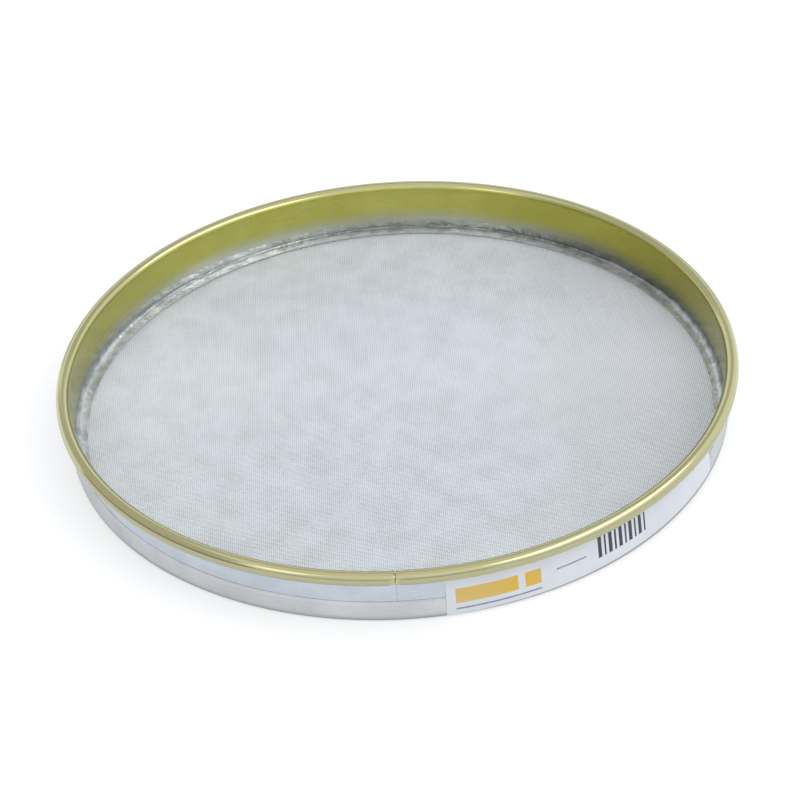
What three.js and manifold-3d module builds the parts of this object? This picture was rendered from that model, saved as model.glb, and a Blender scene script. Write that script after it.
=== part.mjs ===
// A round hand sieve: a tinplate hoop with a wired rim and a turned-in foot, a woven wire cloth under the foot,
// and an L-section ring that draws the cloth tight and grips its turned-up margin from outside.
// Millimetres, +Z up, the floor at zero, the front of the sieve towards -Y.

import * as THREE from "three";
import { mergeVertices } from "three/addons/utils/BufferGeometryUtils.js";
import Module from "manifold-3d";

// Clearances
const seat = 0.3; // between pieces that rest on each other
const grip = 0.25; // each side of the cloth where hoop and ring squeeze it

// Hoop
const rimDiameter = 300; // over the curl
const overallHeight = 26; // floor to the top of the curl
const hoopSheet = 0.5;
const footWidth = 3.6; // lower edge turned in over the cloth, measured from the wall
const curlSweep = 315; // degrees the rim is rolled round its wire
const seamAngle = -92.5; // degrees from +X, seen from above
const seamLap = 10; // overlap of the strip's ends, inside the wall
const curlJoint = 1; // opening between the ends of the curl at the seam

// Rim wire
const rimWireDiameter = 4.4;
const wireJointAngle = 90;
const wireJoint = 1.5;

// Retaining ring
const ringSheet = 0.5;
const ringHeight = 8.8;
const flangeWidth = 6.2; // measured in from the ring's outside
const ringBend = 1; // outside radius of the bend
const ringJointAngle = 100;
const ringJoint = 0.8;

// Wire cloth
const clothWire = 0.8;
const clothWires = 17; // each way
const crossingBite = 0.1; // share of a wire's thickness bonded at a crossing
const marginThickness = 0.5;
const marginHeight = 6; // cloth turned up between hoop and ring

// Label
const labelLength = 146; // along the curve
const labelHeight = 18;
const labelPaper = 0.2;
const labelFloor = 1.2; // lower edge above the floor
const labelAngle = -56.2;
const labelDrape = 4; // height over which the paper falls from ring to wall

// Facets
const turnSegments = 72;
const curlSteps = 10;
const bendSteps = 3;
const wireSides = 8;
const weld = 0.001;

// Radii, from the rim inwards
const curlBore = rimWireDiameter + 2 * seat;
const curlDiameter = curlBore + 2 * hoopSheet;
const hoopInner = rimDiameter / 2 - curlDiameter;
const hoopOuter = hoopInner + hoopSheet;
const lapInner = hoopInner - hoopSheet;
const footInner = hoopInner - footWidth;
const curlCentre = hoopInner + curlDiameter / 2;
const marginInner = hoopOuter + grip;
const marginOuter = marginInner + marginThickness;
const ringInner = marginOuter + grip;
const ringOuter = ringInner + ringSheet;
const flangeInner = ringOuter - flangeWidth;

// Heights, from the floor upwards
const crimp = (clothWire / 2) * (1 - crossingBite);
const clothHalf = crimp + clothWire / 2;
const clothMiddle = ringSheet + seat + clothHalf;
const hoopFloor = clothMiddle + clothHalf + seat;
const curlMiddle = overallHeight - curlDiameter / 2;
const marginFloor = ringSheet + seat;

const wasm = await Module();
wasm.setup();

function solid(geometry) {
  const bare = new THREE.BufferGeometry();
  bare.setAttribute("position", geometry.getAttribute("position"));
  bare.setIndex(geometry.index);
  const merged = mergeVertices(bare, weld);
  const mesh = new wasm.Mesh({
    numProp: 3,
    vertProperties: merged.getAttribute("position").array,
    triVerts: new Uint32Array(merged.index.array),
  });
  return new wasm.Manifold(mesh);
}

function point(radius, height) {
  return new THREE.Vector2(radius, height);
}

function arc(centre, radius, from, to, steps) {
  const points = [];
  for (let step = 0; step <= steps; step++) {
    const turn = THREE.MathUtils.degToRad(THREE.MathUtils.lerp(from, to, step / steps));
    const spoke = point(radius * Math.cos(turn), radius * Math.sin(turn));
    points.push(spoke.add(centre));
  }
  return points;
}

// A closed section, radius against height, turned once about the sieve's axis.
function turned(section) {
  const loop = [...section, section[0]];
  const geometry = new THREE.LatheGeometry(loop, turnSegments);
  return solid(geometry.rotateX(Math.PI / 2));
}

// A slice of the round space from one angle to another, higher than the sieve.
function slice(middleAngle, length, radius) {
  const middle = THREE.MathUtils.degToRad(middleAngle);
  const half = length / radius / 2;
  const reach = rimDiameter;
  const wedge = new THREE.Shape();
  wedge.moveTo(0, 0);
  wedge.lineTo(reach * Math.cos(middle - half), reach * Math.sin(middle - half));
  wedge.lineTo(reach * Math.cos(middle + half), reach * Math.sin(middle + half));
  wedge.closePath();
  const options = { depth: 2 * overallHeight, bevelEnabled: false };
  return solid(new THREE.ExtrudeGeometry(wedge, options));
}

// A thin radial cutter, standing at an angle between two radii and two heights.
function slot(angle, width, inner, outer, floor, top) {
  const cutter = new THREE.BoxGeometry(outer - inner, width, top - floor);
  cutter.translate((inner + outer) / 2, 0, (floor + top) / 2);
  return solid(cutter.rotateZ(THREE.MathUtils.degToRad(angle)));
}

function makeHoop() {
  const curlAt = point(curlCentre, curlMiddle);
  const lip = 180 - curlSweep;
  const section = [
    ...arc(curlAt, curlDiameter / 2, lip, 180, curlSteps),
    point(hoopInner, hoopFloor + hoopSheet),
    point(footInner, hoopFloor + hoopSheet),
    point(footInner, hoopFloor),
    point(hoopOuter, hoopFloor),
    ...arc(curlAt, curlBore / 2, 180, lip, curlSteps),
  ];
  const lapSection = [
    point(lapInner, hoopFloor),
    point(hoopInner + hoopSheet / 2, hoopFloor),
    point(hoopInner + hoopSheet / 2, curlMiddle),
    point(hoopInner, curlMiddle),
    point(lapInner, curlMiddle - hoopSheet),
  ];
  const lap = turned(lapSection).intersect(slice(seamAngle, seamLap, hoopInner));
  const reach = rimDiameter / 2 + curlDiameter;
  const crest = slot(seamAngle, curlJoint, lapInner, reach, curlMiddle, overallHeight + curlDiameter);
  const curlFloor = curlMiddle - curlDiameter;
  const flank = slot(seamAngle, curlJoint, hoopOuter + seat, reach, curlFloor, overallHeight);
  return turned(section).add(lap).subtract(crest).subtract(flank);
}

function makeRimWire() {
  const section = arc(point(curlCentre, curlMiddle), rimWireDiameter / 2, 0, 360, wireSides);
  section.pop();
  const reach = rimDiameter / 2 + curlDiameter;
  const joint = slot(wireJointAngle, wireJoint, lapInner, reach, 0, overallHeight + curlDiameter);
  return turned(section).subtract(joint);
}

function makeRetainingRing() {
  const bendAt = point(ringOuter - ringBend, ringBend);
  const section = [
    point(flangeInner, 0),
    ...arc(bendAt, ringBend, -90, 0, bendSteps),
    point(ringOuter, ringHeight),
    point(ringInner, ringHeight),
    ...arc(bendAt, ringBend - ringSheet, 0, -90, bendSteps),
    point(flangeInner, ringSheet),
  ];
  const joint = slot(ringJointAngle, ringJoint, 0, rimDiameter, -ringHeight, 2 * ringHeight);
  return turned(section).subtract(joint);
}

function makeClothMargin() {
  const section = [
    point(marginInner, marginFloor),
    point(marginOuter, marginFloor),
    point(marginOuter, marginFloor + marginHeight),
    point(marginInner, marginFloor + marginHeight),
  ];
  return turned(section);
}

// One crimped wire of the cloth, square in section, through stations along its run.
function strand(stations, across) {
  const half = clothWire / 2;
  const corners = [
    [-half, -half],
    [half, -half],
    [half, half],
    [-half, half],
  ];
  const positions = [];
  for (const station of stations) {
    for (const [side, rise] of corners) {
      const corner = station.clone().addScaledVector(across, side);
      corner.z += rise;
      positions.push(corner.x, corner.y, corner.z);
    }
  }
  const count = corners.length;
  const last = positions.length / 3 - count;
  const faces = [0, 2, 1, 0, 3, 2, last, last + 1, last + 2, last, last + 2, last + 3];
  for (let ring = 0; ring < last; ring += count) {
    for (let side = 0; side < count; side++) {
      const next = (side + 1) % count;
      const far = ring + count;
      faces.push(ring + side, ring + next, far + next, ring + side, far + next, far + side);
    }
  }
  const geometry = new THREE.BufferGeometry();
  geometry.setAttribute("position", new THREE.Float32BufferAttribute(positions, 3));
  geometry.setIndex(faces);
  return solid(geometry);
}

// Plain weave: each wire passes over one neighbour and under the next, and the zinc bonds the crossings.
function makeWireCloth() {
  const reach = marginInner - seat;
  const pitch = (2 * flangeInner) / clothWires;
  const lines = [];
  for (let line = 0; line < clothWires; line++) {
    lines.push((line - (clothWires - 1) / 2) * pitch);
  }
  const directions = [
    { along: new THREE.Vector3(1, 0, 0), across: new THREE.Vector3(0, 1, 0), rise: crimp },
    { along: new THREE.Vector3(0, 1, 0), across: new THREE.Vector3(-1, 0, 0), rise: -crimp },
  ];
  const strands = [];
  for (const { along, across, rise } of directions) {
    lines.forEach((offset, row) => {
      const half = Math.sqrt(reach ** 2 - (Math.abs(offset) + clothWire / 2) ** 2);
      const station = (run, height) => {
        const place = along.clone().multiplyScalar(run).addScaledVector(across, offset);
        place.z = clothMiddle + height;
        return place;
      };
      const stations = [station(-half, 0)];
      lines.forEach((run, crossing) => {
        if (Math.hypot(run, offset) + clothWire < reach) {
          const over = (row + crossing) % 2 === 0;
          stations.push(station(run, over ? rise : -rise));
        }
      });
      stations.push(station(half, 0));
      strands.push(strand(stations, across));
    });
  }
  return wasm.Manifold.union(strands);
}

// The paper lies on the ring below, falls across its upper edge and lies on the wall above.
function makeLabel() {
  const low = ringOuter + seat;
  const high = hoopOuter + seat;
  const crease = ringHeight + seat;
  const top = labelFloor + labelHeight;
  const section = [
    point(low, labelFloor),
    point(low + labelPaper, labelFloor),
    point(low + labelPaper, crease),
    point(high + labelPaper, crease + labelDrape),
    point(high + labelPaper, top),
    point(high, top),
    point(high, crease + labelDrape),
    point(low, crease),
  ];
  return turned(section).intersect(slice(labelAngle, labelLength, ringOuter));
}

function piece(name, body, look) {
  const { vertProperties, triVerts } = body.getMesh();
  const geometry = new THREE.BufferGeometry();
  geometry.setAttribute("position", new THREE.BufferAttribute(vertProperties, 3));
  geometry.setIndex(new THREE.BufferAttribute(triVerts, 1));
  geometry.computeVertexNormals();
  const mesh = new THREE.Mesh(geometry, new THREE.MeshStandardMaterial(look));
  mesh.name = name;
  return mesh;
}

const lacquer = { color: 0x9ea055, metalness: 0.8, roughness: 0.3 };
const tin = { color: 0xc0c8cf, metalness: 1, roughness: 0.35 };
const zinc = { color: 0xb4babd, metalness: 1, roughness: 0.5 };
const paper = { color: 0xe6e6f0, metalness: 0, roughness: 0.8 };

const sieve = new THREE.Group();
sieve.name = "sieve";
sieve.add(
  piece("hoop", makeHoop(), lacquer),
  piece("rim_wire", makeRimWire(), zinc),
  piece("wire_cloth", makeWireCloth(), zinc),
  piece("cloth_margin", makeClothMargin(), zinc),
  piece("retaining_ring", makeRetainingRing(), tin),
  piece("label", makeLabel(), paper),
);

export default sieve;
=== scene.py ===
import math

import bpy
from mathutils import Matrix, Vector, noise


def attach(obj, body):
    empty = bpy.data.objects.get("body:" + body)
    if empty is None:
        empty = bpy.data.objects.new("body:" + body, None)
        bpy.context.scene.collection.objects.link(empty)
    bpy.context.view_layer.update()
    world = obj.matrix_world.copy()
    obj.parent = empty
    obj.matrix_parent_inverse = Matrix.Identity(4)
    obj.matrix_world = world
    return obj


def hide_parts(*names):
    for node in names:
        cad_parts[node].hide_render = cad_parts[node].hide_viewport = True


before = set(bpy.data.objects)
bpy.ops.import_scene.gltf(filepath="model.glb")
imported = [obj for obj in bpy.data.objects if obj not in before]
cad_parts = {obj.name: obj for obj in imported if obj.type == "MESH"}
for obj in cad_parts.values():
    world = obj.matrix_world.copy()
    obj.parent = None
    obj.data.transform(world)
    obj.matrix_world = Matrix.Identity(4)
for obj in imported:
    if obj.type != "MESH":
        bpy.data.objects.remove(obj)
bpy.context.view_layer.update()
mm = 0.001
print("frame loaded:", sorted(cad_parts))


# small helpers around the operators

def clearSelection():
    if bpy.context.mode != "OBJECT":
        bpy.ops.object.mode_set(mode="OBJECT")
    bpy.ops.object.select_all(action="DESELECT")


def choose(piece):
    clearSelection()
    piece.select_set(True)
    bpy.context.view_layer.objects.active = piece


def onProfile(radius, height, angle):
    # a point of a profile that stands at an angle round the axis
    turn = math.radians(angle)
    return Vector((radius * math.cos(turn), radius * math.sin(turn), height)) * mm


def startPoint(name, radius, height, angle=0.0):
    # a plane shrunk to one vertex, ready to be extruded
    clearSelection()
    bpy.ops.mesh.primitive_plane_add(size=mm, location=onProfile(radius, height, angle))
    piece = bpy.context.object
    piece.name = name
    piece.data.name = name
    bpy.ops.object.transform_apply(location=True, rotation=True, scale=True)
    bpy.ops.object.mode_set(mode="EDIT")
    bpy.ops.mesh.select_mode(type="VERT")
    bpy.ops.mesh.select_all(action="SELECT")
    bpy.ops.mesh.merge(type="CENTER")
    return piece


def extrudeTo(radius, height, angle=0.0):
    # carries the selected vertex on to a point of the profile
    mesh = bpy.context.edit_object
    mesh.update_from_editmode()
    here = next(v.co.copy() for v in mesh.data.vertices if v.select)
    there = onProfile(radius, height, angle)
    bpy.ops.mesh.extrude_region_move(TRANSFORM_OT_translate={"value": there - here})


def roundTo(centreRadius, centreHeight, degrees, steps, angle=0.0):
    # rolls the selected vertex round a centre in the profile's plane
    turn = math.radians(angle)
    bpy.ops.mesh.spin(steps=steps, angle=math.radians(degrees),
                      center=onProfile(centreRadius, centreHeight, angle),
                      axis=(math.sin(turn), -math.cos(turn), 0))


def mergeAll():
    bpy.ops.mesh.select_all(action="SELECT")
    bpy.ops.mesh.remove_doubles(threshold=0.002 * mm)


def spinRound(steps, degrees=360.0):
    bpy.ops.mesh.select_all(action="SELECT")
    bpy.ops.mesh.spin(steps=steps, angle=math.radians(degrees), center=(0, 0, 0), axis=(0, 0, -1))
    mergeAll()
    bpy.ops.mesh.normals_make_consistent(inside=False)


def applyModifier(piece, name, kind, **settings):
    choose(piece)
    modifier = piece.modifiers.new(name, kind)
    for key, value in settings.items():
        setattr(modifier, key, value)
    bpy.ops.object.modifier_apply(modifier=modifier.name)


def thicken(piece, sheet, **settings):
    # half of the sheet on each side of the modelled line
    applyModifier(piece, "sheet", "SOLIDIFY", thickness=sheet * mm, offset=0.0,
                  use_even_offset=True, **settings)


def breakEdges(piece, width):
    applyModifier(piece, "edges", "BEVEL", width=width * mm, segments=2, limit_method="ANGLE",
                  angle_limit=math.radians(60))


def smooth(piece, degrees=40):
    choose(piece)
    bpy.ops.object.shade_smooth_by_angle(angle=math.radians(degrees))


def outward(place):
    return Vector((place.x, place.y, 0)).normalized()


def inward(place):
    return -outward(place)


def faceAway(piece, wanted):
    # turns an open sheet over where its lowest face doesn't look the wanted way
    face = min(piece.data.polygons, key=lambda f: f.center.z)
    if face.normal.dot(wanted(face.center)) < 0:
        piece.data.flip_normals()


def angleOf(place):
    return math.degrees(math.atan2(place.y, place.x))


def degreesFrom(place, angle):
    return abs((angleOf(place) - angle + 180) % 360 - 180)


def waves(x, y, layers):
    # smooth noise in layers, each given as level, scale and share
    return sum(share * noise.noise(Vector((x, y, level)) * scale) for level, scale, share in layers)


# finishes

def newFinish(name):
    finish = bpy.data.materials.new(name)
    finish.use_nodes = True
    tree = finish.node_tree
    return finish, tree, tree.nodes["Principled BSDF"]


def addNode(tree, kind, inputs, **settings):
    node = tree.nodes.new(kind)
    for key, value in settings.items():
        setattr(node, key, value)
    for key, value in inputs.items():
        if isinstance(value, bpy.types.NodeSocket):
            tree.links.new(value, node.inputs[key])
        else:
            node.inputs[key].default_value = value
    return node


def calculate(tree, operation, *values):
    return addNode(tree, "ShaderNodeMath", dict(enumerate(values)), operation=operation).outputs[0]


def objectPoint(tree, stretch=(1, 1, 1)):
    coords = addNode(tree, "ShaderNodeTexCoord", {})
    mapping = addNode(tree, "ShaderNodeMapping", {"Vector": coords.outputs["Object"], "Scale": stretch})
    return mapping.outputs["Vector"]


def objectAxes(tree):
    coords = addNode(tree, "ShaderNodeTexCoord", {})
    return addNode(tree, "ShaderNodeSeparateXYZ", {"Vector": coords.outputs["Object"]}).outputs


def grain(tree, point, scale, detail=3.0, roughness=0.5):
    node = addNode(tree, "ShaderNodeTexNoise",
                   {"Vector": point, "Scale": scale, "Detail": detail, "Roughness": roughness})
    return node.outputs["Fac"]


def spread(tree, value, low, high, newLow, newHigh):
    node = addNode(tree, "ShaderNodeMapRange",
                   {"Value": value, "From Min": low, "From Max": high, "To Min": newLow, "To Max": newHigh},
                   interpolation_type="SMOOTHSTEP")
    return node.outputs["Result"]


def fade(tree, value, span, first, last):
    # from one number to another over a span in millimetres
    return spread(tree, value, span[0] * mm, span[1] * mm, first, last)


def blendColours(tree, share, first, second):
    node = addNode(tree, "ShaderNodeMix", {"Factor": share}, data_type="RGBA")
    for key, value in (("A", first), ("B", second)):
        socket = next(s for s in node.inputs if s.name == key and s.type == "RGBA")
        if isinstance(value, bpy.types.NodeSocket):
            tree.links.new(value, socket)
        else:
            socket.default_value = value
    return next(s for s in node.outputs if s.type == "RGBA")


def bumps(tree, height, strength, distance):
    return addNode(tree, "ShaderNodeBump", {"Height": height, "Strength": strength, "Distance": distance})


lacquerLook = dict(
    gold=(0.61, 0.58, 0.145, 1), deepGold=(0.53, 0.495, 0.10, 1),
    rightShadeGold=(0.42, 0.385, 0.06, 1), leftShadeGold=(0.48, 0.46, 0.13, 1),
    sheenRimGold=(0.60, 0.58, 0.32, 1), darkOuterRim=(0.43, 0.42, 0.25, 1),
    bareTin=(0.50, 0.52, 0.485, 1), sheenTin=(0.72, 0.74, 0.705, 1),
    rightShadeTin=(0.16, 0.16, 0.12, 1), leftShadeTin=(0.30, 0.315, 0.305, 1),
    footTin=(0.66, 0.69, 0.72, 1), footDull=(0.50, 0.525, 0.55, 1), corner=(0.15, 0.155, 0.155, 1),
    # spans in millimetres: across the hoop, from its middle to the right
    rightShadeSpan=(40, 135), leftShadeSpan=(-140, -85), sheenSpan=(-70, -20), leftFadeSpan=(-60, 0),
    middleSpan=(-20, 20),
    # above the floor
    coverSpan=(5.0, 16.2), coverWander=4.0, beatenSpan=(3.0, 7.0),
    # from the axis
    rimSpan=(144.15, 145.0), outerRimSpan=(149.3, 149.75),
    # up foot and wall from the crease, which lies where height and radius add up to its place
    creasePlace=148.06, creaseWander=4.0, footSpan=(-0.9, -0.1), shadeSpan=(-4.5, -0.6), creaseShadeSpan=(0.2, 1.1),
    creaseClimb=(1.64, 1.04),  # metres per cubic metre, left and right
    rough=(0.16, 0.28), bareRough=0.8, rimRough=0.6,  # the last two as shares of the first
    footMetal=0.55, peel=0.2, dents=0.9,
)


# gold lacquer tone; the right and left tones are painted shade
def goldTone(tree, clouds, left, right):
    look = lacquerLook
    tone = blendColours(tree, spread(tree, clouds, 0.35, 0.68, 0.0, 1.0), look["gold"], look["deepGold"])
    tone = blendColours(tree, right, tone, look["rightShadeGold"])  # painted shade: the lacquer darker on the right side
    return blendColours(tree, left, tone, look["leftShadeGold"])


# bare tin low on the inner wall, with painted shade on the right and the left and a painted reflection at the
# back left
def bareTone(tree, axes, left, right):
    look = lacquerLook
    tone = blendColours(tree, right, look["bareTin"], look["rightShadeTin"])
    sheen = fade(tree, axes["X"], look["sheenSpan"], 0.85, 0.0)
    tone = blendColours(tree, sheen, tone, look["sheenTin"])  # painted reflection: the bare tin brighter at the back left
    return blendColours(tree, left, tone, look["leftShadeTin"])


def aboveCrease(tree, axes, fromAxis, flecks):
    # how far up from the crease, along foot and wall; the crease climbs to the left and the right
    look = lacquerLook
    climb = fade(tree, axes["X"], look["middleSpan"], *look["creaseClimb"])
    cube = calculate(tree, "POWER", calculate(tree, "ABSOLUTE", axes["X"]), 3.0)
    along = calculate(tree, "ADD", axes["Z"], fromAxis)
    wobbly = calculate(tree, "MULTIPLY_ADD", flecks, look["creaseWander"] * mm, -look["creasePlace"] * mm)
    return calculate(tree, "SUBTRACT", calculate(tree, "ADD", along, wobbly),
                     calculate(tree, "MULTIPLY", cube, climb))


# foot tone, with painted shade darkening it towards the crease
def footTone(tree, above, flecks):
    look = lacquerLook
    tone = blendColours(tree, spread(tree, flecks, 0.42, 0.62, 0.0, 1.0), look["footTin"], look["footDull"])
    return blendColours(tree, fade(tree, above, look["shadeSpan"], 0.0, 0.6), tone, look["corner"])


# painted shade: a dark ragged line along the crease between foot and wall
def creaseShade(tree, axes, above):
    look = lacquerLook
    darkening = fade(tree, calculate(tree, "ABSOLUTE", above), look["creaseShadeSpan"], 0.7, 0.0)
    patches = spread(tree, grain(tree, objectPoint(tree), 60.0, 2.0), 0.38, 0.58, 0.35, 1.0)
    lessOnLeft = fade(tree, axes["X"], look["leftFadeSpan"], 0.3, 1.0)  # the painted shade fades out towards the left
    return calculate(tree, "MULTIPLY", calculate(tree, "MULTIPLY", darkening, patches), lessOnLeft)


def beatenSurface(tree, axes):
    # the foot was hammered over, and the lacquer has a faint peel
    look = lacquerLook
    peel = bumps(tree, grain(tree, objectPoint(tree), 420.0, 2.0), 0.05, look["peel"] * mm)
    uneven = fade(tree, axes["Z"], look["beatenSpan"], 1.0, 0.0)
    dents = bumps(tree, grain(tree, objectPoint(tree), 240.0, 2.0), uneven, look["dents"] * mm)
    tree.links.new(peel.outputs["Normal"], dents.inputs["Normal"])
    return dents.outputs["Normal"]


def makeLacquer():
    look = lacquerLook
    finish, tree, shader = newFinish("gold_lacquer")
    axes = objectAxes(tree)
    flat = objectPoint(tree, (1, 1, 0))
    fromAxis = addNode(tree, "ShaderNodeVectorMath", {0: flat}, operation="LENGTH").outputs["Value"]
    clouds = grain(tree, objectPoint(tree), 26.0, 3.0)
    flecks = grain(tree, objectPoint(tree), 170.0, 3.0)
    # masks of the painted shade on the left and the right sides
    left = fade(tree, axes["X"], look["leftShadeSpan"], 0.7, 0.0)
    right = fade(tree, axes["X"], look["rightShadeSpan"], 0.0, 0.9)
    ragged = calculate(tree, "MULTIPLY_ADD", clouds, look["coverWander"] * mm, axes["Z"])
    cover = fade(tree, ragged, look["coverSpan"], 0.0, 1.0)
    colour = blendColours(tree, cover, bareTone(tree, axes, left, right), goldTone(tree, clouds, left, right))
    above = aboveCrease(tree, axes, fromAxis, flecks)
    foot = fade(tree, above, look["footSpan"], 1.0, 0.0)
    colour = blendColours(tree, foot, colour, footTone(tree, above, flecks))
    # painted shade along the crease
    colour = blendColours(tree, creaseShade(tree, axes, above), colour, look["corner"])
    paleRim = fade(tree, fromAxis, look["rimSpan"], 0.0, 1.0)
    colour = blendColours(tree, paleRim, colour, look["sheenRimGold"])  # painted sheen: the rim paler where the lacquer's highlight falls
    outerRim = fade(tree, fromAxis, look["outerRimSpan"], 0.0, 1.0)
    colour = blendColours(tree, outerRim, colour, look["darkOuterRim"])  # and darker on the curl's outermost band
    tree.links.new(colour, shader.inputs["Base Color"])
    streaks = grain(tree, objectPoint(tree, (18, 18, 700)), 1.0, 4.0)
    rough = spread(tree, streaks, 0.3, 0.7, *look["rough"])
    for share in (spread(tree, cover, 0.0, 1.0, look["bareRough"], 1.0),
                  spread(tree, paleRim, 0.0, 1.0, 1.0, look["rimRough"])):
        rough = calculate(tree, "MULTIPLY", rough, share)
    tree.links.new(rough, shader.inputs["Roughness"])
    tree.links.new(spread(tree, foot, 0.0, 1.0, 1.0, look["footMetal"]), shader.inputs["Metallic"])
    tree.links.new(beatenSurface(tree, axes), shader.inputs["Normal"])
    return finish


tinLook = dict(
    tin=(0.57, 0.62, 0.69, 1), dull=(0.50, 0.54, 0.60, 1),
    # lowShade and edge are painted shade near the bottom, on hoop and ring alike
    lowShade=(0.33, 0.33, 0.33, 1), edge=(0.15, 0.15, 0.15, 1),
    lowShadeSpan=(0.8, 3.4), lowShadeWander=1.6, bottomShadeSpan=(0.1, 1.2),  # above the floor
    rough=(0.20, 0.38),
)
ringLook = dict(tinLook, tin=(0.575, 0.595, 0.61, 1), dull=(0.50, 0.515, 0.53, 1))


def makeTin(name, look):
    finish, tree, shader = newFinish(name)
    axes = objectAxes(tree)
    streaks = grain(tree, objectPoint(tree, (14, 14, 900)), 1.0, 5.0)
    patches = grain(tree, objectPoint(tree), 45.0, 4.0)
    colour = blendColours(tree, spread(tree, patches, 0.35, 0.7, 0.0, 1.0), look["tin"], look["dull"])
    ragged = calculate(tree, "MULTIPLY_ADD", patches, look["lowShadeWander"] * mm, axes["Z"])
    wobbly = fade(tree, ragged, look["lowShadeSpan"], 0.9, 0.0)
    colour = blendColours(tree, wobbly, colour, look["lowShade"])  # painted shade: darker towards the bottom, where the floor is in shadow
    # painted shade: darkest along the very bottom edge
    lowest = fade(tree, axes["Z"], look["bottomShadeSpan"], 0.8, 0.0)
    colour = blendColours(tree, lowest, colour, look["edge"])
    tree.links.new(colour, shader.inputs["Base Color"])
    tree.links.new(spread(tree, streaks, 0.3, 0.7, *look["rough"]), shader.inputs["Roughness"])
    shader.inputs["Metallic"].default_value = 1.0
    tree.links.new(bumps(tree, streaks, 0.08, 0.1 * mm).outputs["Normal"], shader.inputs["Normal"])
    return finish


wireLook = dict(
    # right is painted shade for the right side of the cloth
    zinc=(0.745, 0.80, 0.865, 1), dull=(0.645, 0.695, 0.75, 1), right=(0.54, 0.575, 0.62, 1),
    rightShadeSpan=(30, 130), rough=(0.32, 0.50),
)
# painted shade: the wire inside the curl made dark, so the seam gap reads dark
shadedRimWireLook = dict(
    wireLook, zinc=(0.20, 0.19, 0.15, 1), dull=(0.12, 0.11, 0.08, 1), right=(0.14, 0.13, 0.10, 1),
    rough=(0.45, 0.65),
)


def makeZinc(name, look):
    finish, tree, shader = newFinish(name)
    axes = objectAxes(tree)
    patches = grain(tree, objectPoint(tree), 70.0, 5.0, 0.6)
    specks = grain(tree, objectPoint(tree), 900.0, 2.0)
    colour = blendColours(tree, spread(tree, patches, 0.35, 0.68, 0.0, 1.0), look["zinc"], look["dull"])
    right = fade(tree, axes["X"], look["rightShadeSpan"], 0.0, 0.8)
    colour = blendColours(tree, right, colour, look["right"])  # painted shade: the cloth darker on the right side, where the wall shades it
    tree.links.new(colour, shader.inputs["Base Color"])
    tree.links.new(spread(tree, specks, 0.3, 0.7, *look["rough"]), shader.inputs["Roughness"])
    shader.inputs["Metallic"].default_value = 0.9
    return finish


labelLook = dict(
    paper=(0.90, 0.93, 0.98, 1), shade=(0.85, 0.88, 0.95, 1),
    amber=(0.90, 0.58, 0.07, 1), paleAmber=(0.84, 0.62, 0.24, 1),
    ink=(0.05, 0.05, 0.075, 1), paleInk=(0.06, 0.058, 0.08, 1),
    fineInk=(0.24, 0.25, 0.32, 1), paleFineInk=(0.36, 0.37, 0.46, 1),
)


def makePaper(name, first, second, scale):
    finish, tree, shader = newFinish(name)
    fibres = grain(tree, objectPoint(tree), 1400.0, 3.0, 0.7)
    tone = grain(tree, objectPoint(tree), scale, 2.0)
    share = spread(tree, tone, 0.35, 0.65, 0.0, 1.0)
    colour = blendColours(tree, share, labelLook[first], labelLook[second])
    tree.links.new(colour, shader.inputs["Base Color"])
    shader.inputs["Roughness"].default_value = 0.55
    tree.links.new(bumps(tree, fibres, 0.12, 0.05 * mm).outputs["Normal"], shader.inputs["Normal"])
    return finish


lacquer = makeLacquer()
tin = makeTin("bright_tin", tinLook)
ringTin = makeTin("ring_tin", ringLook)
zinc = makeZinc("galvanised_wire", wireLook)
shadedRimWire = makeZinc("rim_wire_shaded", shadedRimWireLook)
paper = makePaper("label_paper", "paper", "shade", 60.0)
amber = makePaper("label_amber", "amber", "paleAmber", 30.0)
ink = makePaper("label_ink", "ink", "paleInk", 200.0)
fineInk = makePaper("label_fine_ink", "fineInk", "paleFineInk", 300.0)
print("finishes made")


# hoop: the middle of the sheet as one line, spun, then given its thickness

hoopSizes = dict(
    sheet=0.5, wall=144.25, floor=1.86, edgeWidth=0.06, turns=480,
    wallLoops=(4.0, 5.5, 8.0, 12.0, 16.0, 19.6),
    footInner=139.0, footLoops=(140.0, 141.2, 142.4), footBend=0.7, bendSteps=5,
    lip=0.2, lipRise=0.12, lipThin=0.5, lipFrom=0.9,  # thin edge of the foot, the last two as shares
    leftBend=4.9, rightBend=3.1,  # bend at the far left and the far right
    # unevenness of the hand-turned foot
    footShift=0.8, widest=95, footSway=0.4, footWave=0.28, footDip=0.04,
    wallWave=0.06, wallWaveTop=10.5, waveLayers=((20, 0.11, 1.0), (70, 0.27, 0.6)),
    curlCentre=147.0, curlMiddle=23.0, curlSweep=315, curlSteps=45,
    seamAngle=-92.5, seamReach=2.5, curlFloor=19.65, curlGap=0.3, wallGap=0.14,
    dent=0.5, dentReach=1.3, dentFloor=20.2, dentInner=144.6,  # curl pressed in either side of its seam
    lapWidth=10.0, lapRise=0.5, lapLoops=(8.0, 14.0), lapTop=22.3, lapTurns=8, lapPlay=0.02,
)


def selectNear(piece, reach, inCurl):
    # faces beside the seam, either those of the curl or those below it
    sizes = hoopSizes
    bpy.ops.object.mode_set(mode="OBJECT")
    for v in piece.data.vertices:
        v.select = False
    for e in piece.data.edges:
        e.select = False
    for f in piece.data.polygons:
        high = f.center.z > sizes["curlFloor"] * mm
        f.select = degreesFrom(f.center, sizes["seamAngle"]) < reach and high == inCurl
    bpy.context.view_layer.objects.active = piece
    bpy.ops.object.mode_set(mode="EDIT")
    bpy.ops.mesh.select_mode(type="FACE")


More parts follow.
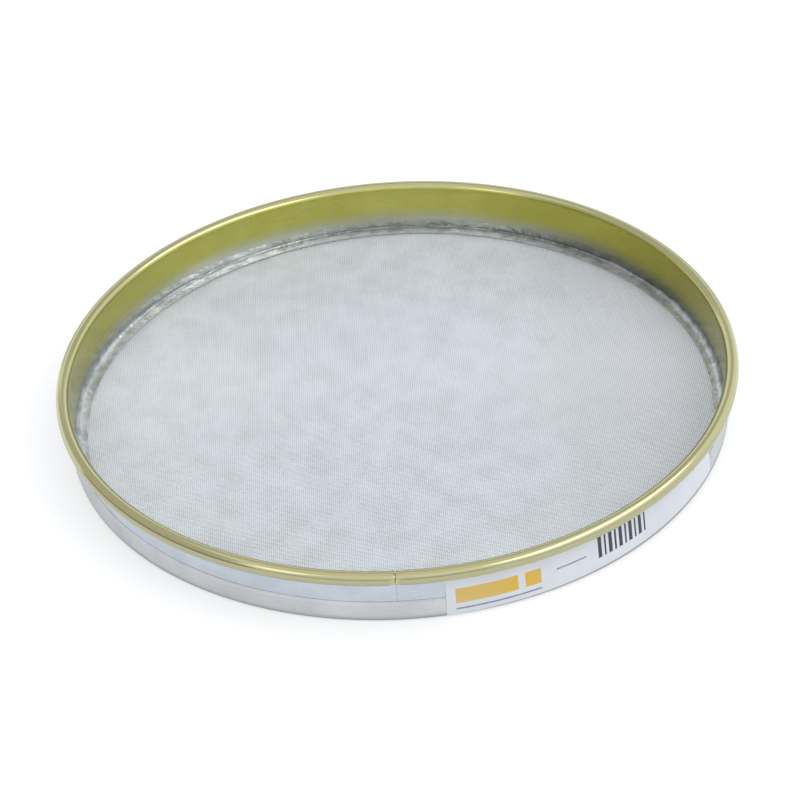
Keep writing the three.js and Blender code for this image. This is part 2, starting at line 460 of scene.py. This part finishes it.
def cutSeam(piece, gap, inCurl):
    # two radial cuts either side of the seam, and what lies between them deleted
    sizes = hoopSizes
    half = math.degrees(gap / 2 / sizes["curlCentre"])
    for side in (-half, half):
        selectNear(piece, sizes["seamReach"], inCurl)
        turn = math.radians(sizes["seamAngle"] + side)
        bpy.ops.mesh.bisect(plane_co=(0, 0, 0), plane_no=(-math.sin(turn), math.cos(turn), 0))
    selectNear(piece, half, inCurl)
    bpy.ops.mesh.delete(type="FACE")


def pressSeam(piece):
    # the rolled rim is a little flatter where its ends meet
    sizes = hoopSizes
    for v in piece.data.vertices:
        apart = degreesFrom(v.co, sizes["seamAngle"]) / sizes["dentReach"]
        inCurl = v.co.z > sizes["dentFloor"] * mm and math.hypot(v.co.x, v.co.y) > sizes["dentInner"] * mm
        if apart < 1 and inCurl:
            centre = outward(v.co) * sizes["curlCentre"] * mm
            centre.z = sizes["curlMiddle"] * mm
            v.co -= (v.co - centre).normalized() * sizes["dent"] * mm * (1 - apart * apart) ** 2


def roundFoot(piece):
    # the bend from foot to wall is wider at the left and the right than at the back
    sizes = hoopSizes
    for v in piece.data.vertices:
        x, y, z = v.co / mm
        radius = math.hypot(x, y)
        bend = sizes["leftBend" if x < 0 else "rightBend"] * abs(x / sizes["wall"]) ** 3
        run = (z - sizes["floor"]) - (sizes["wall"] - radius)  # along foot and wall, from the corner
        if bend > sizes["footBend"] and abs(run) < bend:
            turn = math.pi / 4 * (1 + run / bend)
            wanted = sizes["wall"] - bend + bend * math.sin(turn)
            v.co += outward(v.co) * (wanted - radius) * mm
            v.co.z = (sizes["floor"] + bend - bend * math.cos(turn)) * mm


def unevenFoot(piece):
    # the foot was turned in by hand, so it is wider at the back, and foot and wall are a little wavy
    sizes = hoopSizes
    full = piece.vertex_groups.new(name="full")
    for v in piece.data.vertices:
        x, y, z = v.co / mm
        wave = waves(x, y, sizes["waveLayers"])
        inside = (sizes["wall"] - math.hypot(x, y)) / (sizes["wall"] - sizes["footInner"])
        if inside < sizes["lipFrom"]:
            full.add([v.index], 1.0, "REPLACE")
        if z < sizes["floor"] + sizes["footBend"] / 2:
            shift = sizes["footShift"] * math.cos(math.radians(angleOf(v.co) - sizes["widest"]))
            v.co -= outward(v.co) * (shift + sizes["footSway"] * wave) * max(0.0, inside) * mm
            v.co.z += max(-sizes["footDip"], sizes["footWave"] * wave) * max(0.0, inside) * mm
        elif z < sizes["wallWaveTop"]:
            v.co += outward(v.co) * sizes["wallWave"] * wave * (1 - z / sizes["wallWaveTop"]) * mm


def makeLap():
    # the strip's other end, soldered behind the seam
    sizes = hoopSizes
    spanned = math.degrees(sizes["lapWidth"] / sizes["wall"])
    start = sizes["seamAngle"] - spanned / 2
    radius = sizes["wall"] - sizes["sheet"]
    lap = startPoint("hoop_lap", radius, sizes["floor"] + sizes["lapRise"], start)
    for height in (*sizes["lapLoops"], sizes["lapTop"]):
        extrudeTo(radius, height, start)
    spinRound(sizes["lapTurns"], spanned)
    bpy.ops.object.mode_set(mode="OBJECT")
    faceAway(lap, inward)
    for finish in (lacquer, tin):
        lap.data.materials.append(finish)
    thicken(lap, sizes["sheet"] - sizes["lapPlay"], material_offset=1, material_offset_rim=1)
    return lap


def makeHoop():
    sizes = hoopSizes
    lipHeight = sizes["floor"] + sizes["lipRise"]
    bendAt = sizes["wall"] - sizes["footBend"]
    piece = startPoint("hoop_shell", sizes["footInner"], lipHeight)
    extrudeTo(sizes["footInner"] + sizes["lip"], lipHeight)
    for radius in (*sizes["footLoops"], bendAt):
        extrudeTo(radius, sizes["floor"])
    roundTo(bendAt, sizes["floor"] + sizes["footBend"], -90, sizes["bendSteps"])
    for height in (*sizes["wallLoops"], sizes["curlMiddle"]):
        extrudeTo(sizes["wall"], height)
    roundTo(sizes["curlCentre"], sizes["curlMiddle"], sizes["curlSweep"], sizes["curlSteps"])
    spinRound(sizes["turns"])
    bpy.ops.object.mode_set(mode="OBJECT")
    pressSeam(piece)
    roundFoot(piece)
    unevenFoot(piece)
    cutSeam(piece, sizes["curlGap"], True)
    cutSeam(piece, sizes["wallGap"], False)
    bpy.ops.object.mode_set(mode="OBJECT")
    faceAway(piece, inward)
    for finish in (lacquer, tin):
        piece.data.materials.append(finish)
    thicken(piece, sizes["sheet"], material_offset=1, vertex_group="full",
            thickness_vertex_group=sizes["lipThin"])
    breakEdges(piece, sizes["edgeWidth"])
    lap = makeLap()
    choose(piece)
    lap.select_set(True)
    bpy.ops.object.join()
    smooth(piece)
    return piece


hoop = makeHoop()
print("hoop made:", len(hoop.data.polygons), "faces")


# wire inside the curl, with its butt joint at the back

rimWireSizes = dict(radius=1.9, joint=1.5, jointAngle=90, sides=20, turns=300)


def makeRimWire():
    sizes = rimWireSizes
    centre, height = hoopSizes["curlCentre"], hoopSizes["curlMiddle"]
    gap = math.degrees(sizes["joint"] / centre)
    start = sizes["jointAngle"] + gap / 2
    piece = startPoint("rim_wire_round", centre + sizes["radius"], height, start)
    roundTo(centre, height, 360, sizes["sides"], start)
    mergeAll()
    bpy.ops.mesh.select_all(action="SELECT")
    bpy.ops.mesh.edge_face_add()
    spinRound(sizes["turns"], 360 - gap)
    bpy.ops.object.mode_set(mode="OBJECT")
    piece.data.materials.append(shadedRimWire)
    smooth(piece)
    return piece


rimWire = makeRimWire()
print("rim wire made:", len(rimWire.data.polygons), "faces")


# retaining ring: an L section, flange inwards under the cloth, open at its butt joint

ringSizes = dict(
    sheet=0.5, flangeInner=140.4, flangeLoop=142.8, outer=146.0, bend=0.8, bendSteps=8,
    height=8.8, uprightLoops=(0.25, 0.5, 0.75, 1.0),  # shares of the upright
    top=144.59, topThin=0.08,  # the upright leans in and thins until its top edge meets the wall
    joint=0.8, jointAngle=100, turns=360, edgeWidth=0.12,
)


def makeRing():
    sizes = ringSizes
    half = sizes["sheet"] / 2
    upright = sizes["height"] - sizes["bend"]
    gap = math.degrees(sizes["joint"] / sizes["outer"])
    start = sizes["jointAngle"] + gap / 2
    piece = startPoint("retaining_ring_band", sizes["flangeInner"], half, start)
    extrudeTo(sizes["flangeLoop"], half, start)
    extrudeTo(sizes["outer"] - sizes["bend"], half, start)
    roundTo(sizes["outer"] - sizes["bend"], sizes["bend"], -90, sizes["bendSteps"], start)
    for share in sizes["uprightLoops"]:
        radius = sizes["outer"] + (sizes["top"] - sizes["outer"]) * share
        radius -= half * (1 - (1 - sizes["topThin"]) * share)
        extrudeTo(radius, sizes["bend"] + upright * share, start)
    spinRound(sizes["turns"], 360 - gap)
    bpy.ops.object.mode_set(mode="OBJECT")
    piece.data.materials.append(ringTin)
    full = piece.vertex_groups.new(name="full")
    for v in piece.data.vertices:
        share = (v.co.z / mm - sizes["bend"]) / upright
        full.add([v.index], min(1.0, 1 - share), "REPLACE")
    thicken(piece, sizes["sheet"], vertex_group="full", thickness_vertex_group=sizes["topThin"])
    breakEdges(piece, sizes["edgeWidth"])
    smooth(piece)
    return piece


ring = makeRing()
print("ring made:", len(ring.data.polygons), "faces")


# wire cloth: crimped wires both ways, turned up at the edge between hoop and ring

clothSizes = dict(
    pitch=0.85, wire=0.28, middle=1.2, sag=0.1,
    ripple=0.12, rippleLayers=((180, 0.017, 1.0), (190, 0.045, 0.5)), calm=6,  # calmer towards the edge
    edge=143.4, spare=1.0, innerShare=0.404,  # a strip this far each way holds half of the area
    upright=144.86, top=3.0, turnUp=((0.15, 0.72), (1.0, 1.0)),  # rise, and share of the way out
    mostSlide=6.0, leastClimb=0.2,
)


def clothHeight(x, y):
    # nearly flat, with a slight sag and ripple
    sizes = clothSizes
    inside = max(0.0, 1 - (math.hypot(x, y) / sizes["edge"]) ** 2)
    ripple = sizes["ripple"] * waves(x, y, sizes["rippleLayers"]) * min(1.0, inside * sizes["calm"])
    return sizes["middle"] - sizes["sag"] * inside + ripple


def marginPath(offset, half, alongX, way, lift):
    # past the edge the wire turns up and goes on at the angle at which it met the edge
    sizes = clothSizes
    x, y = (way * half, offset) if alongX else (offset, way * half)
    angle = math.atan2(y, x)
    run = Vector((way, 0, 0)) if alongX else Vector((0, way, 0))
    climb = run.dot(Vector((math.cos(angle), math.sin(angle), 0)))
    drift = run.dot(Vector((-math.sin(angle), math.cos(angle), 0)))
    wayOut = sizes["upright"] + lift - sizes["edge"]
    foot = clothHeight(x, y)
    steps = [(foot + rise, share) for rise, share in sizes["turnUp"]] + [(sizes["top"], 1.0)]
    points = [Vector((x, y, foot))]
    for height, share in steps:
        radius = sizes["edge"] + wayOut * share
        slide = min(sizes["mostSlide"], (height - foot) / max(sizes["leastClimb"], climb)) * drift
        turn = angle + slide / radius
        points.append(Vector((radius * math.cos(turn), radius * math.sin(turn), height)))
    return points


def wirePath(offset, row, alongX):
    # points of one wire from margin to margin, over one neighbour and under the next
    sizes = clothSizes
    lift = sizes["wire"] / 2 if alongX else -sizes["wire"] / 2
    half = math.sqrt(sizes["edge"] ** 2 - offset ** 2)
    count = int(half / sizes["pitch"])
    points = []
    for step in range(-count, count + 1):
        run = step * sizes["pitch"]
        x, y = (run, offset) if alongX else (offset, run)
        crimp = lift if (step + row) % 2 == 0 else -lift
        points.append(Vector((x, y, clothHeight(x, y) + crimp)))
    head = marginPath(offset, half, alongX, 1, lift)
    tail = marginPath(offset, half, alongX, -1, lift)
    return tail[::-1] + points + head


def makeWires(name, alongX, rows):
    sizes = clothSizes
    curve = bpy.data.curves.new(name, "CURVE")
    curve.dimensions = "3D"
    curve.bevel_depth = sizes["wire"] / 2 * mm
    curve.bevel_resolution = 0
    curve.use_fill_caps = True
    for row in rows:
        path = wirePath(row * sizes["pitch"], row, alongX)
        spline = curve.splines.new("POLY")
        spline.points.add(len(path) - 1)
        for point, place in zip(spline.points, path):
            point.co = (*(place * mm), 1)
    piece = bpy.data.objects.new(name, curve)
    bpy.context.scene.collection.objects.link(piece)
    choose(piece)
    bpy.ops.object.convert(target="MESH")
    piece = bpy.context.object
    piece.data.materials.append(zinc)
    smooth(piece, 100)
    return piece


def makeCloth():
    # quarters of about equal area, so that no piece grows too heavy
    sizes = clothSizes
    last = int((sizes["edge"] - sizes["spare"]) / sizes["pitch"])
    inner = int(sizes["innerShare"] * sizes["edge"] / sizes["pitch"])
    parts = (range(-last, -inner), range(-inner, 0), range(0, inner + 1), range(inner + 1, last + 1))
    wires = []
    for alongX, names in ((True, ("warp_front", "warp_near", "warp_far", "warp_back")),
                          (False, ("weft_left", "weft_near_left", "weft_near_right", "weft_right"))):
        for name, rows in zip(names, parts):
            wires.append(makeWires("cloth_" + name, alongX, rows))
    return wires


cloth = makeCloth()
print("cloth made:", sum(len(w.data.polygons) for w in cloth), "faces")


# paper label: a strip that follows ring and wall, with generic print

labelSizes = dict(
    start=-84.9, length=146.0, paper=0.14, radius=146.22, wall=144.76, floor=0.6, top=18.2,
    drape=15.0, drapeLoops=(0.1, 0.25, 0.4, 0.55, 0.7, 0.85, 1.0),  # shares of the way up to the wall
    turns=112, tilt=0.014,
)
labelPrint = dict(
    # from, to, low and high of each plain shape
    amber=((4.0, 30.0, 5.6, 12.6), (33.0, 40.0, 5.6, 12.6)),
    rules=((4.0, 40.0, 2.7, 3.4), (47.0, 61.0, 8.8, 9.5)),
    barsFrom=67.0, barsLow=5.4, barsHigh=15.6,
    bars=((1.8, 1.4), (0.9, 1.4)) * 5,  # width and space
)
labelFinishes = (paper, amber, ink, fineInk)


def alongLabel(place):
    return math.radians(angleOf(place) - labelSizes["start"]) * labelSizes["radius"]


def splitLabel(place, facing):
    bpy.ops.mesh.select_all(action="SELECT")
    bpy.ops.mesh.bisect(plane_co=place, plane_no=facing)


def printAreas():
    # from, to, low, high, finish
    marks = labelPrint
    areas = [(*shape, amber) for shape in marks["amber"]] + [(*shape, fineInk) for shape in marks["rules"]]
    along = marks["barsFrom"]
    for width, space in marks["bars"]:
        areas.append((along, along + width, marks["barsLow"], marks["barsHigh"], ink))
        along += width + space
    return areas


def makeLabel():
    sizes = labelSizes
    piece = startPoint("label_strip", sizes["radius"], sizes["floor"], sizes["start"])
    for share in sizes["drapeLoops"]:
        radius = sizes["radius"] + (sizes["wall"] - sizes["radius"]) * share
        extrudeTo(radius, sizes["floor"] + (sizes["drape"] - sizes["floor"]) * share, sizes["start"])
    extrudeTo(sizes["wall"], sizes["top"], sizes["start"])
    spinRound(sizes["turns"], math.degrees(sizes["length"] / sizes["radius"]))
    areas = printAreas()
    for along in sorted({a for area in areas for a in area[:2]}):
        turn = math.radians(sizes["start"]) + along / sizes["radius"]
        splitLabel((0, 0, 0), (-math.sin(turn), math.cos(turn), 0))
    for height in sorted({h for area in areas for h in area[2:4]}):
        splitLabel((0, 0, height * mm), (0, 0, 1))
    bpy.ops.object.mode_set(mode="OBJECT")
    faceAway(piece, outward)
    for finish in labelFinishes:
        piece.data.materials.append(finish)
    for face in piece.data.polygons:
        along, height = alongLabel(face.center), face.center.z / mm
        for left, right, low, high, finish in areas:
            if left < along < right and low < height < high:
                face.material_index = labelFinishes.index(finish)
    for v in piece.data.vertices:  # stuck on a little askew
        v.co.z += alongLabel(v.co) * sizes["tilt"] * mm
    applyModifier(piece, "thickness", "SOLIDIFY", thickness=sizes["paper"] * mm, offset=-1.0)
    smooth(piece)
    return piece


label = makeLabel()
print("label made:", len(label.data.polygons), "faces")


# every piece onto the frame

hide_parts("hoop")
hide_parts("rim_wire")
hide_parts("retaining_ring")
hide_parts("label")
for wires in cloth:
    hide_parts("wire_cloth", "cloth_margin")
for piece, slotName in ((hoop, "gold_lacquer"), (rimWire, "galvanised_wire"), (ring, "tinplate"),
                        (label, "label_paper")):
    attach(piece, "root")
for wires in cloth:
    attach(wires, "root")
print("pieces ride on the frame")


# studio: pale floor, soft boxes, grey panels for the metal to reflect

studio = dict(
    floor=(0.64, 0.64, 0.65, 1), floorGlow=0.50, floorSize=12, floorDrop=0.0002,
    sky=(0.95, 0.97, 1.0, 1), skyLight=0.82, panelCard=(0.05, 0.05, 0.05, 1),
    # name, azimuth, height angle, distance, width, height, power
    lamps=(
        ("right_box", -18, 50, 1.5, 1.6, 0.55, 4.6),
        ("left_box", -135, 43, 1.5, 0.4, 0.4, 0.6),
    ),
    # name, azimuth, height angle, distance, width, height, grey
    panels=(
        ("left_panel", 168, 38, 1.9, 3.2, 1.5, 0.54),
        ("back_panel", 95, 50, 2.1, 2.9, 1.25, 0.54),
        ("front_panel", -112, 33, 1.5, 0.95, 0.9, 0.82),
        ("low_front_panel", -98, 13, 1.9, 2.2, 0.9, 0.72),
        ("low_left_panel", -169, 12, 1.9, 2.4, 0.8, 0.38),
        ("low_back_panel", 90, 7, 2.0, 2.8, 0.46, 0.34),
        ("top_panel", 90, 88, 1.9, 1.7, 1.7, 0.78),
    ),
)


def faceSieve(thing, azimuth, lift, distance):
    turn, rise = math.radians(azimuth), math.radians(lift)
    level = Vector((math.cos(turn), math.sin(turn), 0)) * math.cos(rise)
    thing.location = (level + Vector((0, 0, math.sin(rise)))) * distance
    thing.rotation_euler = thing.location.to_track_quat("Z", "Y").to_euler()


def seenDirectly(tree, shown, hidden):
    # one value for camera, mirror and see-through rays, another for the light that falls on things
    rays = addNode(tree, "ShaderNodeLightPath", {}).outputs
    first = calculate(tree, "MAXIMUM", rays["Is Camera Ray"], rays["Is Glossy Ray"])
    both = calculate(tree, "MAXIMUM", first, rays["Is Transmission Ray"])
    share = addNode(tree, "ShaderNodeMapRange", {"Value": both, "To Min": hidden, "To Max": shown})
    return share.outputs["Result"]


def makeFloor():
    clearSelection()
    bpy.ops.mesh.primitive_plane_add(size=studio["floorSize"], location=(0, 0, -studio["floorDrop"]))
    floor = bpy.context.object
    floor.name = "floor"
    finish, tree, shader = newFinish("floor_white")
    shader.inputs["Base Color"].default_value = studio["floor"]
    shader.inputs["Roughness"].default_value = 0.8
    shader.inputs["Emission Color"].default_value = (1, 1, 1, 1)
    tree.links.new(seenDirectly(tree, studio["floorGlow"], 0.0), shader.inputs["Emission Strength"])
    floor.data.materials.append(finish)


def makeSky():
    world = bpy.data.worlds.new("studio_sky")
    bpy.context.scene.world = world
    world.use_nodes = True
    tree = world.node_tree
    background = tree.nodes["Background"]
    background.inputs["Color"].default_value = studio["sky"]
    tree.links.new(seenDirectly(tree, 1.0, studio["skyLight"]), background.inputs["Strength"])


def makeLamps():
    for name, azimuth, lift, distance, width, height, power in studio["lamps"]:
        lamp = bpy.data.lights.new(name, "AREA")
        lamp.shape = "RECTANGLE"
        lamp.size = width
        lamp.size_y = height
        lamp.energy = power
        holder = bpy.data.objects.new(name, lamp)
        bpy.context.scene.collection.objects.link(holder)
        faceSieve(holder, azimuth, lift, distance)


def makePanels():
    for name, azimuth, lift, distance, width, height, grey in studio["panels"]:
        clearSelection()
        bpy.ops.mesh.primitive_plane_add(size=1)
        panel = bpy.context.object
        panel.name = name
        panel.scale = (width, height, 1)
        faceSieve(panel, azimuth, lift, distance)
        bpy.ops.object.transform_apply(location=True, rotation=True, scale=True)
        finish, tree, shader = newFinish(name)
        shader.inputs["Base Color"].default_value = studio["panelCard"]
        shader.inputs["Roughness"].default_value = 1.0
        shader.inputs["Emission Color"].default_value = (1, 1, 1, 1)
        shader.inputs["Emission Strength"].default_value = grey
        panel.data.materials.append(finish)
        panel.visible_camera = False  # there for the metal alone
        panel.visible_diffuse = False
        panel.visible_shadow = False


makeFloor()
makeSky()
makeLamps()
makePanels()
print("studio made")


# camera, fitted to the rim and the base in the photograph

view = dict(
    distance=1.050, elevation=36.28, roll=-4.24, sensor=36.0, nearest=0.05,
    frame=800, focal=2347.8, centreX=398.7, centreY=402.5,  # pixels
)


def makeCamera():
    up = math.radians(view["elevation"])
    roll = math.radians(view["roll"])
    place = Vector((0, -math.cos(up), math.sin(up))) * view["distance"]
    ahead = -place.normalized()
    level = Vector((1, 0, 0))
    above = level.cross(ahead)
    right = level * math.cos(roll) + above * math.sin(roll)
    top = above * math.cos(roll) - level * math.sin(roll)
    lens = bpy.data.cameras.new("camera")
    lens.sensor_width = view["sensor"]
    lens.lens = view["focal"] / view["frame"] * view["sensor"]
    lens.shift_x = (view["frame"] / 2 - view["centreX"]) / view["frame"]
    lens.shift_y = (view["centreY"] - view["frame"] / 2) / view["frame"]
    lens.clip_start = view["nearest"]
    camera = bpy.data.objects.new("camera", lens)
    bpy.context.scene.collection.objects.link(camera)
    turn = Matrix((right, top, -ahead)).transposed().to_4x4()
    camera.matrix_world = Matrix.Translation(place) @ turn
    bpy.context.scene.camera = camera


makeCamera()
bpy.context.scene.view_settings.view_transform = "Standard"
print("camera made")
